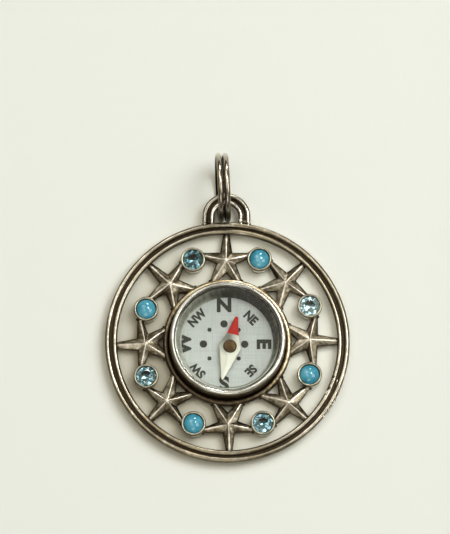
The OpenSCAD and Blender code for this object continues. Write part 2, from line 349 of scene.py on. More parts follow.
def wallMaterial(name):
    # Spun aluminium, dulled inside the capsule: soft grey, streaked upright, dark to pale as wear goes up;
    # here that attribute carries painted light and shade
    material, add = newMaterial(name)
    place = add("ShaderNodeTexCoord", output="Object")
    stretched = add("ShaderNodeMapping", {"Vector": place, "Scale": perMm((0.5, 0.5, 6.0))})
    streak = add("ShaderNodeTexNoise", {"Vector": stretched, "Scale": 1.0, "Detail": 3})
    wearAndShading = add("ShaderNodeAttribute", output="Fac", attribute_name="wearAndShading")
    offset = add("ShaderNodeMapRange", [streak, 0.35, 0.65, -0.12, 0.12])
    share = add("ShaderNodeMath", [wearAndShading, offset], operation="ADD")
    colour = add("ShaderNodeValToRGB", [share], stops=[(0.0, "#161612"), (0.5, "#858576"), (1.0, "#D2D2C3")])
    return finished(material, add, {"Base Color": colour, "Metallic": 0.3, "Roughness": 0.5,
                                    "Specular IOR Level": 0.2})


def plainMaterial(name, colour, inputs):
    # Bare metal or ink in one colour
    material, add = newMaterial(name)
    return finished(material, add, {"Base Color": linearColour(colour), **inputs})


def clearMaterial(name, colour, ior, shade, rough=0.0):
    # Clear glass or cut stone: bends and mirrors light, and lets lamps through so that what it covers is lit
    material, add = newMaterial(name)
    glass = add("ShaderNodeBsdfPrincipled", {"Base Color": linearColour(colour), "Roughness": rough,
                                             "IOR": ior, "Transmission Weight": 1.0})
    through = add("ShaderNodeBsdfTransparent", {"Color": linearColour(shade)})
    shadowRay = add("ShaderNodeLightPath", output="Is Shadow Ray")
    both = add("ShaderNodeMixShader", [shadowRay, glass, through])
    add("ShaderNodeOutputMaterial", {"Surface": both})
    return material


def dialMaterial(name):
    # Aluminium sheet, brushed both ways and lacquered: pale grey with faint crossed lines, no mirror image
    material, add = newMaterial(name)
    place = add("ShaderNodeTexCoord", output="Object")
    lines = []
    for along in ((0.06, 3.0, 1.0), (3.0, 0.06, 1.0)):
        stretched = add("ShaderNodeMapping", {"Vector": place, "Scale": perMm(along)})
        lines.append(add("ShaderNodeTexNoise", {"Vector": stretched, "Scale": 1.0, "Detail": 2}))
    both = add("ShaderNodeMath", [lines[0], lines[1]], operation="ADD")
    spread = add("ShaderNodeMapRange", [both, 0.7, 1.3])
    colour = add("ShaderNodeValToRGB", [spread], stops=[(0.0, "#999B95"), (1.0, "#AFB1AC")])
    bump = add("ShaderNodeBump", {"Height": both, "Strength": 0.15, "Distance": 0.01 * mm})
    return finished(material, add, {"Base Color": colour, "Metallic": 0.35, "Roughness": 0.55,
                                    "Normal": bump})


def turquoiseMaterial(name):
    # Turquoise, cut and polished as a cabochon: even sky blue with faint paler clouds under a waxy gloss
    material, add = newMaterial(name)
    place = add("ShaderNodeTexCoord", output="Object")
    cloud = add("ShaderNodeTexNoise", {"Vector": place, "Scale": perMm(1.1), "Detail": 5})
    colour = add("ShaderNodeValToRGB", [cloud],
                 stops=[(0.3, "#35879E"), (0.52, "#4B9CB3"), (0.75, "#6DB0C0")])
    return finished(material, add, {"Base Color": colour, "Roughness": 0.6, "Specular IOR Level": 0.0,
                                    "Coat Weight": 1.0, "Coat IOR": 1.61, "Coat Roughness": 0.03})


needleLook = dict(
    ivory="#DEDBCA", red="#A80900", shadeGrey="#57564B",
    redFrom=1.95, redEdge=0.03,  # and half the width of the red's edge
    shadeAlong=(-1.7, 0.8),  # painted shade: the needle greys over this stretch ahead of the pivot
    shadeAcross=(-1.0, 0.4), shadeShares=(0.15, 0.85),  # and more to the left than to the right
)


def needleMaterial(name, look, pivot, turn):
    # Steel strip, dipped in ivory enamel with a red point: satin paint, crisp between the colours, with a
    # painted shade that greys it from the pivot towards the red, more on the left
    material, add = newMaterial(name)
    place = add("ShaderNodeTexCoord", output="Object")
    moved = add("ShaderNodeVectorMath", [place, [pivot[0], pivot[1], 0]], operation="SUBTRACT")
    ahead, left = (add("ShaderNodeVectorMath", [moved, [*polar(1, direction), 0]], "Value",
                       operation="DOT_PRODUCT") for direction in (turn, turn - 90))
    edge, soft = look["redFrom"] * mm, look["redEdge"] * mm
    red = add("ShaderNodeMapRange", [ahead, edge - soft, edge + soft])
    along = add("ShaderNodeMapRange", [ahead, *inMetres(look["shadeAlong"])])
    across = add("ShaderNodeMapRange", [left, *inMetres(look["shadeAcross"]), *look["shadeShares"]])
    shadeGrey = add("ShaderNodeMath", [along, across], operation="MULTIPLY")
    colour = layered(add, look, "ivory", [(shadeGrey, "shadeGrey"), (red, "red")])
    return finished(material, add, {"Base Color": colour, "Roughness": 0.5, "Specular IOR Level": 0.1})


boardLook = dict(
    board="#DFE2DC", lit="#FFFFF0", shadeTan="#A59C7E",
    shadeWay=(-0.906, -0.423, 0), shadeReach=16,  # away from the lamps, and how far out the tan is full
    enclosed=(15, 20), beyond=0.3,  # by the ring; share of tan past that
    near=5, fades=(0.38, 0.94),  # reach of the painted light and shade by the metal, openness it fades over
)


def boardMaterial(name, look):
    # Pale ivory board, matt; next to the silver its colour is painted with light and shade, white on the side
    # of the lamps and tan on the other, most where the ring encloses it, standing in for the light that the
    # metal throws back
    material, add = newMaterial(name)
    place = add("ShaderNodeTexCoord", output="Object")
    shadeward = add("ShaderNodeVectorMath", [place, look["shadeWay"]], "Value", operation="DOT_PRODUCT")
    reach = look["shadeReach"] * mm
    side = add("ShaderNodeMapRange", [shadeward, -reach, reach])
    distance = add("ShaderNodeVectorMath", [place], "Value", operation="LENGTH")
    enclosed = add("ShaderNodeMapRange", [distance, *inMetres(look["enclosed"]), 1.0, look["beyond"]])
    shadeTan = add("ShaderNodeMath", [side, enclosed], operation="MULTIPLY")
    openness = add("ShaderNodeAmbientOcclusion", {"Distance": look["near"] * mm}, "AO", samples=8)
    far = add("ShaderNodeMapRange", [openness, *look["fades"]])
    colour = layered(add, look, "lit", [(shadeTan, "shadeTan"), (far, "board")])
    return finished(material, add, {"Base Color": colour, "Roughness": 0.7})


silver = silverMaterial("castAntiqueSilver", silverLook)
rimSilver = silverMaterial("polishedSpunRim", rimLook)
wireSilver = silverMaterial("drawnSilverWire", wireLook)
ringSilver = silverMaterial("rubbedRingSilver", ringLook)
loopSilver = silverMaterial("rubbedLoopSilver", loopLook)
caseSilver = silverMaterial("oxidisedCaseSilver", caseLook)
cupSilver = silverMaterial("burnishedBezelSilver", cupLook)
print("materials for the silver are ready")

# Outer ring and bail loop: two round ridges on a flat band
ringShape = dict(
    ridge=0.42, spread=1.09, low=1.0, top=2.6, bandTop=1.9, halfBand=0.8, sections=288,
    wander=(0.012, 0.015), wanderFrom=1.5,  # sideways and up, above that height
    rubbedDepth=0.035, rubbedAndLit=(0.62, 0.5), litSide=127,  # wear: all round, and a painted highlight on the two lit sides
)
crumbShape = dict(
    # rough places: radius, from and to direction, height, crumbs
    places=[(18.86, 112, 129, 2.5, 46), (18.1, 109, 112, 2.0, 9), (17.3, 107, 119, 2.55, 24)],
    aside=0.12, above=0.08,  # how far a crumb strays from that radius and height
    sizes=(0.08, 0.2), wearAndShading=(-1.0, 1.8),
)
loopShape = dict(
    ridge=0.4, spread=1.09, low=1.55, top=2.52, bandTop=1.95, halfBand=0.72, radius=3.75,
    centre=(-0.15, 19.87), legRows=10, archRows=56,
    rubbedDepth=0.05, dipped=1.6,
    # lumps of solder where the legs stand on the ring: place, half sizes along x, y and z, and wear
    solder=[
        ((-3.55, 18.7, 2.2), (0.45, 0.3, 0.42), 0.3),
        ((-2.85, 19.0, 2.25), (0.4, 0.36, 0.4), -0.9),
        ((2.0, 19.2, 2.4), (0.5, 0.42, 0.42), 1.0),
        ((2.7, 19.0, 2.2), (0.42, 0.3, 0.42), -0.3),
        ((3.3, 18.75, 2.2), (0.4, 0.28, 0.42), 0.8),
    ],
)


def groovedSection(ridge, spread, low, top, bandTop, halfBand, **others):
    # Closed outline (offset, height): up the side, over the outer ridge, along the groove, over the inner one
    # and back
    half, crestZ = spread / 2, top - ridge
    side = math.degrees(math.acos((halfBand - half) / ridge))
    floor = math.degrees(math.asin((crestZ - bandTop) / ridge))
    outer = arcPoints((half, crestZ), ridge, -side, 180 + floor, 24)
    inner = arcPoints((-half, crestZ), ridge, -floor, 180 + side, 24)
    return softened([[halfBand, low], *outer, *inner, [-halfBand, low]], step=0.07, width=0.14)


def crestWear(z, top, depth, dipped=1.0):
    # 1 on the crest, 0 from one to three depths below it, and from there down to minus dipped at twelve
    down = (top - z) / depth
    return np.clip(1 - down, 0, 1) - dipped * np.clip((down - 3) / 9, 0, 1)


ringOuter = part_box("frame")[1].x / mm
ringCrest = ringOuter - ringShape["ridge"]
ringMiddle = ringCrest - ringShape["spread"] / 2
ringInner = ringMiddle - ringShape["spread"] / 2 - ringShape["ridge"]


def drawnWave(r, z, angle):
    # Drawn wire bent round by hand: its ridges rise and fall by a few hundredths of a millimetre
    sideways, upwards = ringShape["wander"]
    return r + sideways * waves(angle, 3), z + upwards * waves(angle, 4) * (z > ringShape["wanderFrom"])


ringForm = lathe(groovedSection(**ringShape) + [ringMiddle, 0], ringShape["sections"], rimWave=drawnWave)
ringWear = crestWear(ringForm[0][:, 2], ringShape["top"], ringShape["rubbedDepth"])
# painted highlight: the rubbed crest is made brighter on two opposite sides, where the lamps light the
# ridges, and less bright between them: the cosine of twice the angle
allRound, litSidesShare = ringShape["rubbedAndLit"]
litSide = 2 * facing(ringForm[0], ringShape["litSide"]) ** 2 - 1
ringWear = np.where(ringWear > 0, ringWear * (allRound + litSidesShare * litSide), ringWear)
# a rough place low on the right, where the ring was filed: small crumbs of metal on the flanks of its ridges
random = np.random.default_rng(11)
crumbs, crumbWear = [], []
for radius, fromDirection, toDirection, height, count in crumbShape["places"]:
    for k in range(count):
        astray = random.uniform(-crumbShape["aside"], crumbShape["aside"])
        x, y = polar(radius + astray, random.uniform(fromDirection, toDirection))
        sizes = random.uniform(*crumbShape["sizes"], 3)
        z = height + random.uniform(-crumbShape["above"], crumbShape["above"])
        crumbs.append(lumpForm([x, y, z], sizes))
        crumbWear.append(np.full(len(ball[0]), random.uniform(*crumbShape["wearAndShading"])))
addPiece("outer_ring", joined([ringForm, *crumbs]), ringSilver, "pendant", ["frame"],
         wearAndShading=np.concatenate([ringWear, *crumbWear]))

loopMiddle = loopShape["radius"] - loopShape["ridge"] - loopShape["spread"] / 2
loopX, loopY = loopShape["centre"]
loopOffset, loopHeight = (groovedSection(**loopShape) + [loopMiddle, 0]).T


def loopLeg(side):
    # One straight leg: from the crest of the ring, where the section meets it, up to the round end
    rise = np.linspace(0, 1, loopShape["legRows"], endpoint=False)[:, None]
    x = loopX + side * loopOffset
    foot = np.sqrt(ringCrest ** 2 - x ** 2)
    return np.stack(np.broadcast_arrays(x, foot + (loopY - foot) * rise, loopHeight), axis=-1)


def loopArch():
    # The section carried over a half circle, from the left leg to the right one
    turn = np.radians(np.linspace(180, 0, loopShape["archRows"]))[:, None]
    x, y = loopX + loopOffset * np.cos(turn), loopY + loopOffset * np.sin(turn)
    return np.stack(np.broadcast_arrays(x, y, loopHeight), axis=-1)


loopGrid = np.concatenate([loopLeg(-1), loopArch(), loopLeg(1)[::-1]])
loopForm = gridForm(loopGrid, first=loopGrid[0].mean(axis=0), last=loopGrid[-1].mean(axis=0))
loopWear = crestWear(loopForm[0][:, 2], loopShape["top"], loopShape["rubbedDepth"], loopShape["dipped"])
lumps = [lumpForm(place, sizes) for place, sizes, shine in loopShape["solder"]]
lumpWear = [np.full(len(ball[0]), shine) for place, sizes, shine in loopShape["solder"]]
addPiece("bail_loop", joined([loopForm, *lumps]), loopSilver, "pendant", ["frame"],
         wearAndShading=np.concatenate([loopWear, *lumpWear]))
print("outer ring and bail loop are made")

# Double jump ring: two round wires standing in the loop
jumpShape = dict(
    wire=0.88, turn=2.9, rows=96, sides=28,
    outside=1.5, allOver=-0.75,  # wear: outer side of the wire, all over
    under=(2.4, -0.45),  # darker towards the bottom, in the loop: strength, and the height it starts at
    # painted highlight at the far end, darker at the near end: strength, place and width in degrees, from
    # the far end over the top
    ends=[(1.5, 13, 20), (-1.8, 166, 13)],
)
along = np.radians(np.linspace(0, 360, jumpShape["rows"], endpoint=False))[:, None]
about = np.radians(np.linspace(0, 360, jumpShape["sides"], endpoint=False))[None, :]


def jumpForm(shape, low, high):
    # Torus: the wire's circle carried round one that stands in the plane of y and z, then turned a little
    wire = shape["wire"] / 2
    out = (high.z - low.z) / mm / 2 - wire + wire * np.cos(about)
    upright = np.broadcast_arrays(wire * np.sin(about), out * np.cos(along), out * np.sin(along))
    turned = turnedClockwise(np.stack(upright, axis=-1), -shape["turn"])
    return gridForm(turned + np.array((low + high) / 2) / mm, closeRows=True)


def jumpWear(shape):
    # Rubbed outside; brightest at the far end, where the brightness is a painted highlight; dark within and
    # where the wire turns down into the loop
    darkerBy, level = shape["under"]
    wearAndShading = shape["outside"] * np.cos(about) + shape["allOver"] - darkerBy * np.clip(level - np.sin(along), 0, 1)
    for strength, place, width in shape["ends"]:
        wearAndShading = wearAndShading + strength * swell((np.degrees(along) - place + 180) % 360, 180, width)
    return wearAndShading.ravel()


for n in (1, 2):
    addPiece(f"jump_ring_wire_{n}", jumpForm(jumpShape, *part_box(f"jump_ring_{n}")), wireSilver, "pendant",
             [f"jump_ring_{n}"], wearAndShading=jumpWear(jumpShape))
print("double jump ring is made")

# Cups: straight bezels with a round bead along the rim
cupShape = dict(radius=1.9, low=1.0, top=2.95, bead=0.2, hollow=1.56, seat=2.35, step=1.35, coneFoot=0.3,
                floor=1.25, stoneLow=1.95, sections=96,
                pushed=0.006, pushedFrom=2.3)  # how far the rim wanders, above that height
cupFinish = dict(
    # the wall's pale tone is a painted reflection, its dark lines painted shade
    wall=1.4, wallTop=2.45, bead=0.15,
    rubbedAndLit=(0.45, 1.69, 0.09), rubbedFrom=2.7,  # on the bead: strength, radius, width
    dark=[(2.2, 2.58, 0.16), (2.8, 1.0, 0.4)],  # painted shade, lines on the wall: strength, height, width
    insideTop=2.6, behindDome=-0.3,
    behindCut=(0.12, 0.3, 0.6),  # all over, more in the middle, its reach
)


def cupProfile(cutStone, radius, low, top, bead, hollow, seat, step, coneFoot, floor, stoneLow, **others):
    # From the middle of the underside out, up the wall, over the bead and down inside to the seat or floor
    over = arcPoints((radius + 0.02 - bead, top - bead), bead, -10, 190, 14)
    inside = [[hollow, stoneLow], [0, stoneLow]]
    if cutStone:
        inside = [[hollow, seat], [step, seat], [coneFoot, floor], [0, floor]]
    line = [[0, low], [radius, low], *over, [hollow, top - bead - 0.1], *inside]
    return softened(line, step=0.06, width=0.1, closed=False)


def cupForm(shape, k, place, cutStone):
    # The profile turned round; the bezel was pushed over the stone by hand, so its rim wanders a little
    def pushedRim(r, z, angle):
        wander = shape["pushed"] * np.clip((z - shape["pushedFrom"]) / 0.5, 0, 1)
        return r + wander * waves(angle, 20 + k), z + wander * waves(angle, 70 + k)

    return lathe(cupProfile(cutStone, **shape), shape["sections"], place, pushedRim)


def cupWear(points, finish, place, cutStone):
    # The bead is rubbed along a line inside its crest; the wall is painted pale, standing in for its
    # reflection of the lit board, with painted shade in dark lines under the bead and at its foot; the inside
    # is as it was cast
    away, up = np.linalg.norm(points[:, :2] - place, axis=1), points[:, 2]
    strength, middle, width = finish["rubbedAndLit"]
    wearAndShading = np.where(up < finish["wallTop"], finish["wall"], finish["bead"])
    wearAndShading = wearAndShading + strength * swell(away, middle, width) * (up > finish["rubbedFrom"])
    for strength, height, width in finish["dark"]:
        wearAndShading = wearAndShading - strength * swell(up, height, width)
    allOver, more, reach = finish["behindCut"]
    behind = allOver + more * swell(away, 0, reach) if cutStone else finish["behindDome"]
    within = (away < cupShape["hollow"] + 0.05) & (up > cupShape["low"] + 0.1) & (up < finish["insideTop"])
    return np.where(within, behind, wearAndShading)


for k, (direction, distance, stone) in enumerate(cupPlaces):
    place, cutStone = polar(distance, direction), stone.startswith("topaz")
    form = cupForm(cupShape, k, place, cutStone)
    addPiece(f"cup_{k + 1}", form, cupSilver, "pendant", ["frame"],
             wearAndShading=cupWear(form[0], cupFinish, place, cutStone))
print("bezel cups are made")

# Stars: ten planes that meet in ridges and valleys over a five-armed outline, soldered to ring, cups and seat
seatShape = dict(radius=10.0, width=1.0, side=1.6, back=9.6, chamfer=0.1, backTop=0.7, wall=9.0, wallIn=8.65,
                 wallTop=4.5, sections=256)
starShape = dict(
    reach=3.9,  # of an arm before it is led to its neighbour
    ends=(0.92, 0.66, 0.86, 0.86, 0.66),  # width of each arm's blunt end, clockwise from the outward arm
    sink=0.4,  # how far that end runs into its neighbour
    notch=1.62, innerNotch=1.95,
    apex=2.35, edge=1.65, low=1.05,
    hollow=0.03,  # dip of a facet between ridge and valley
    crestRound=0.14, edgeRound=0.07,  # rounding of the ridges and of the outline
    rows=22,
)
starFinish = dict(
    ridge=0.9, ridgeWidth=0.2,  # rubbed ridges
    edge=1.35, edgeWidth=0.3,  # dip left along the outline, and painted shade at the star's edges
    tones=(-0.5, 0.35),  # least and most of a facet's own tone
    side=-0.85, solder=-0.8, apex=0.9, under=-1,
    palePatchStar=5, patch=(1.35, 0.2, 0.5, 1.8),  # right of its middle, out from it, size and strength
)
solderShape = dict(beside=0.08, across=0.3, sink=0.1, middle=1.32, height=0.36)


def atDistance(point, centre, radius):
    # The point moved along its line from centre to that radius
    way = point - centre
    return centre + way * radius / np.linalg.norm(way)


def starOutline(k):
    # Each arm in turn, clockwise: corner, end of ridge, corner and the notch after it, as x, y and height.
    # The ridge falls as if it met the arm's two edges at one point.
    direction, distance, turned = starPlaces[k]
    shape, middle = starShape, polar(distance, direction)
    after, before = (polar(cupPlaces[j % 8][1], cupPlaces[j % 8][0]) for j in (k, k + 7))
    cupSide, inward = cupShape["radius"], (np.zeros(2), seatShape["radius"], -1)
    neighbours = [(np.zeros(2), ringInner, 1), (after, cupSide, -1), inward, inward, (before, cupSide, -1)]
    wide, deep = polar(shape["notch"], 36)
    outline, joints = [], []
    for j, (centre, radius, way) in enumerate(neighbours):
        heading = direction + turned + 72 * j
        aim = middle + polar(shape["reach"], heading)
        end = atDistance(aim, centre, radius + way * shape["sink"])
        reach, half = np.linalg.norm(end - middle), shape["ends"][j] / 2
        ahead = (end - middle) / reach
        aside = np.array([ahead[1], -ahead[0]])
        meet = reach + half * (reach - deep) / (wide - half)
        crest = shape["edge"] + (shape["apex"] - shape["edge"]) * (1 - reach / meet)
        notch = middle + polar(shape["innerNotch"] if j == 2 else shape["notch"], heading + 36)
        outline += [[*(end - aside * half), shape["edge"]], [*end, crest],
                    [*(end + aside * half), shape["edge"]], [*notch, shape["edge"]]]
        joints.append((atDistance(aim, centre, radius + way * solderShape["sink"]), heading, half))
    return middle, np.array(outline), joints


def solderForm(place, heading, half):
    # A squashed ball of solder round an arm's end, stretched across the arm
    sizes = [half + solderShape["beside"], solderShape["across"], solderShape["height"]]
    return lumpForm([*place, solderShape["middle"]], sizes, heading)


def starForm(k):
    # Each outline point is drawn in towards the apex; height rises evenly on the way, less a slight hollow
    # between ridge and valley and a rounding on the ridge. Below come a rounded lip, the side and the
    # underside.
    shape = starShape
    direction, distance, turned = starPlaces[k]
    middle, corners, joints = starOutline(k)
    line = softened(corners, step=0.08, width=0.22)
    outlineZ = line[:, 2]
    line = line[:, :2]
    normal = leftOf(line)
    lip = shape["edgeRound"]
    inset = line - normal * lip
    t = np.linspace(0, 1, shape["rows"])[1:, None]
    flat = middle + t[..., None] * (inset - middle)
    arms = corners[1::4, :2] - middle
    arms /= np.linalg.norm(arms, axis=1)[:, None]
    fromMiddle = (flat - middle)[..., None, :]
    off = np.abs(np.cross(fromMiddle, arms))
    ridgeGap = np.where((fromMiddle * arms).sum(axis=-1) > 0, off, 9).min(axis=-1)
    lineAngle, armAngle = np.arctan2(*(inset - middle).T)[:, None], np.arctan2(*arms.T)
    turnFromArm = (lineAngle - armAngle + np.pi) % (2 * np.pi) - np.pi
    nearest = np.abs(turnFromArm).argmin(axis=1)
    fromRidge = turnFromArm[np.arange(len(line)), nearest]
    share = np.clip(np.abs(fromRidge) / np.radians(36), 0, 1)
    sag = shape["hollow"] * np.sin(np.pi * share) * np.sin(np.pi * t)
    blunt = 0.5 * (np.hypot(ridgeGap, shape["crestRound"]) - ridgeGap)
    top = outlineZ + (shape["apex"] - outlineZ) * (1 - t) - sag - blunt
    upper = np.concatenate([flat, top[..., None]], axis=-1)
    edge = top[-1]
    lower = [np.column_stack([line - normal * 0.3 * lip, edge - 0.3 * lip]),
             np.column_stack([line, edge - lip]),
             np.column_stack([line, np.full(len(line), shape["low"] + lip)]),
             np.column_stack([inset, np.full(len(line), shape["low"])])]
    grid = np.concatenate([upper, np.array(lower)])
    form = gridForm(grid, first=[*middle, top[0].max()], last=[*middle, shape["low"]])
    # the ridges are rubbed bright; the dip stays dark along the outline, which also paints the shade at the
    # star's edges, on the sides and on the solder
    finish = starFinish
    ridge = swell(ridgeGap, 0, finish["ridgeWidth"]) * (1 - 0.5 * t ** 6)
    inFromEdge = (1 - t) * np.linalg.norm(inset - middle, axis=1)
    darkerBy = finish["edge"] * np.exp(-inFromEdge / finish["edgeWidth"])
    tones = np.random.default_rng(60 + k).uniform(*finish["tones"], 10)
    tone = tones[2 * nearest + (fromRidge > 0)] * np.sin(np.pi * share) ** 0.5
    upperWear = finish["ridge"] * ridge + (tone - darkerBy) * (1 - ridge)
    # one star carries a paler patch on a facet
    if k == finish["palePatchStar"]:
        right, out, size, strength = finish["patch"]
        patch = middle + polar(out, direction + turned) + polar(right, direction + turned + 90)
        upperWear = upperWear + strength * swell(np.linalg.norm(flat - patch, axis=-1), 0, size)
    lowerWear = np.full(len(lower) * len(line), finish["side"])
    solder = [solderForm(*joint) for joint in joints]
    solderWear = np.full(len(solder) * len(ball[0]), finish["solder"])
    return joined([form, *solder]), np.concatenate([upperWear.ravel(), lowerWear,
                                                    [finish["apex"], finish["under"]], solderWear])


for k in range(len(starPlaces)):
    form, wearAndShading = starForm(k)
    addPiece(f"star_{k + 1}", form, silver, "pendant", ["frame"], wearAndShading=wearAndShading)
print("stars are made")

# Case: the cup that holds the compass, with its round-topped seat ring, whose shape is above with the stars
seatFinish = dict(
    litSide=35, depths=(0.9, 0.5),  # the lit side, where the painted highlight is strongest, and how far down within and without
    # painted highlight on the crest, painted shade on the side away from the lamps, and the dip elsewhere
    crest=1.2, darkerBy=0.85, elsewhere=-0.8,
)


def caseProfile(radius, width, side, back, chamfer, backTop, wall, wallIn, wallTop, **others):
    # From the middle of the back out, up and over the seat ring, up the wall and down inside to the floor
    seat = arcPoints((radius - width / 2, side), width / 2, 0, 180, 24)
    line = [[0, 0], [back - chamfer, 0], [back, chamfer], [back, backTop], [radius, backTop], *seat,
            [wall, wallTop], [wallIn, wallTop], [wallIn, backTop], [0, backTop]]
    return softened(line, step=0.1, width=0.16, closed=False)


def seatWear(points, shape, finish):
    # The seat ring is rubbed along its crest; painted highlight makes it brightest towards the north-east,
    # where the lamps light it, and painted shade darkens the side away from them
    away = np.hypot(points[:, 0], points[:, 1])
    onSeat = (away > shape["wall"] + 0.05) & (points[:, 2] > shape["side"])
    handledAndLit = np.clip(0.5 + 0.95 * facing(points, finish["litSide"]), 0, 1)
    depth = np.where(away < shape["radius"] - shape["width"] / 2, *finish["depths"])
    crest = crestWear(points[:, 2], shape["side"] + shape["width"] / 2, depth, 0)
    wearAndShading = finish["crest"] * crest * handledAndLit - finish["darkerBy"] * (1 - handledAndLit)
    return np.where(onSeat, wearAndShading, finish["elsewhere"])


form = lathe(caseProfile(**seatShape), seatShape["sections"])
addPiece("case_cup", form, caseSilver, "pendant", ["frame"],
         wearAndShading=seatWear(form[0], seatShape, seatFinish))

# Capsule: floor, conical wall inside and the bright bead round the glass
capsuleShape = dict(bead=0.37, low=0.75, side=8.6, glassSeat=4.45, glassHole=8.2, coneTop=7.95, coneFoot=7.15,
                    dialTop=1.45, floor=1.0, sections=256,
                    spun=(0.01, 0.012), spunFrom=4.4)  # the rim wanders in and down, above that height


def capsuleProfile(outer, top, bead, low, side, glassSeat, glassHole, coneTop, coneFoot, dialTop, floor,
                   **others):
    # From the middle of the underside out, up the side, over the bead and down the cone to the floor
    line = [[0, low], [side, low], *arcPoints((outer - bead, top - bead), bead, -80, 175, 28),
            [glassHole, glassSeat], [coneTop, glassSeat], [coneFoot, dialTop], [coneFoot, floor], [0, floor]]
    return softened(line, step=0.08, width=0.08, closed=False)


def spunRim(r, z, angle):
    # The rim was spun over the glass, and its edge is a little uneven
    inwards, down = capsuleShape["spun"]
    rim = np.clip((z - capsuleShape["spunFrom"]) / 0.5, 0, 1)
    return r - inwards * rim * (1 + waves(angle, 7, 6)), z - down * rim * (1 + waves(angle, 8, 6))


def rimWear(points):
    # Polished all round; painted shade makes it darker on the left and a little at the top, where it catches
    # less light, and on the ledge under the glass towards the north-east; painted light makes that ledge
    # paler towards the south-west
    rimShade = 1.1 * np.clip(facing(points, -95), 0, 1) ** 3 + 0.3 * np.clip(facing(points, 0), 0, 1) ** 6
    ledgeShading = -0.1 - 0.7 * facing(points, 45)
    return np.where(points[:, 2] > capsuleShape["glassSeat"] + 0.15, 1.1 - rimShade, ledgeShading)


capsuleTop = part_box("compass_case")[1] / mm
form = lathe(capsuleProfile(capsuleTop.x, capsuleTop.z, **capsuleShape), capsuleShape["sections"],
             rimWave=spunRim)
addPiece("capsule", form, rimSilver, "pendant", ["compass_case"], wearAndShading=rimWear(form[0]))

# Skin of the conical wall inside, a few hundredths of a millimetre proud of it; it carries the wall's
# painted light and shade
skinShape = dict(proud=0.02, thick=0.03, clear=0.02, rows=24)
wallLightAndShade = [
    # painted light and shade: direction, tone at the foot, half way up and at the top
    (0, 0.02, -0.02, 0.06),
    (45, -0.05, -0.08, 0.0),
    (90, 0.3, 0.02, 0.35),
    (135, 1.3, 0.35, 1.3),
    (180, 0.2, 0.5, 1.2),
    (225, 0.4, 0.9, 0.85),
    (270, 1.3, 0.5, 0.6),
    (315, 0.9, 0.4, 0.6),
    (360, 0.02, -0.02, 0.06),
]
skinFoot = np.array([capsuleShape["coneFoot"], capsuleShape["dialTop"] + skinShape["clear"]])
skinHead = np.array([capsuleShape["coneTop"], capsuleShape["glassSeat"] - skinShape["clear"]])


def skinForm(shape):
    # A thin cone: the straight line from foot to head, down its back and up its face
    line = skinFoot + (skinHead - skinFoot) * np.linspace(0, 1, shape["rows"])[:, None]
    face = line - [shape["proud"] + shape["thick"], 0]
    return lathe(np.vstack([line[::-1] - [shape["proud"], 0], face]), capsuleShape["sections"])


def skinShading(points):
    # Dull grey with painted light and shade: darkest towards the north-east, where the wall faces away from
    # the lamps, and palest towards the south and west, where it faces them
    direction = np.degrees(np.arctan2(points[:, 0], points[:, 1])) % 360
    directions, *tones = np.array(wallLightAndShade).T
    atFoot, halfWay, atTop = (np.interp(direction, directions, tone) for tone in tones)
    rising = (points[:, 2] - skinFoot[1]) / (skinHead[1] - skinFoot[1])
    low, high = np.clip(1 - 2.4 * rising, 0, 1), np.clip(3 * rising - 2, 0, 1)
    return halfWay + (atFoot - halfWay) * low + (atTop - halfWay) * high


form = skinForm(skinShape)
addPiece("capsule_wall", form, wallMaterial("capsuleWallShading"), "pendant",
         wearAndShading=skinShading(form[0]))
print("case and capsule are made")

# Needle and its cap
pivot = Vector(frame["joints"][0]["pos_m"])
needleShape = dict(red=4.9, pale=5.4, width=3.4, turn=12.8, redTip=0.28, paleTip=0.16, waist=(0.93, 1.95),
                   low=2.35, high=2.5, crown=0.3, lip=0.04)
capShape = dict(radius=1.05, low=2.53, side=2.83, top=3.08, boss=0.6, bossLow=2.1, bore=0.36, boreTop=2.85,
                sections=64)


def needleForm(shape):
    # A lozenge with two rounded tips and a slight waist in its red half, its edges rounded by the lip, in
    # rows from the underside to the top, which rises evenly to a low point in the middle
    half, lip = shape["width"] / 2, shape["lip"]
    waist, waistAt = shape["waist"]
    redEnd = arcPoints((0, shape["red"] - shape["redTip"]), shape["redTip"], 20, 160, 9)
    paleEnd = arcPoints((0, shape["paleTip"] - shape["pale"]), shape["paleTip"], 200, 340, 7)
    corners = [[half, 0], [waist, waistAt], *redEnd, [-waist, waistAt], [-half, 0], *paleEnd]
    line = softened(corners, step=0.08, width=0.24)
    normal = -leftOf(line)
    levels = [(lip, shape["low"]), (0, shape["low"] + lip), (0, shape["high"] - lip), (lip, shape["high"])]
    rows = [np.column_stack([line - normal * inward, np.full(len(line), z)]) for inward, z in levels]
    peak = np.array([0, 0, shape["high"] + shape["crown"]])
    rows += [peak + t * (rows[3] - peak) for t in (0.8, 0.6, 0.4, 0.2)]
    points, quads, triangles = gridForm(np.array(rows), first=[0, 0, shape["low"]], last=peak)
    return turnedClockwise(points, shape["turn"]) + [pivot.x / mm, pivot.y / mm, 0], quads, triangles


def capProfile(radius, low, side, top, boss, bossLow, bore, boreTop, **others):
    # Up the bore, down the boss, out under the head and over its dome, which is part of a ball
    rise = top - side
    dome = (radius ** 2 + rise ** 2) / (2 * rise)
    lean = math.degrees(math.asin(radius / dome))
    line = [[0, boreTop], [bore, boreTop], [bore, bossLow], [boss, bossLow], [boss, low], [radius, low],
            *arcPoints((0, top - dome), dome, 90 - lean, 90, 14)]
    return softened(line, step=0.05, width=0.1, closed=False)


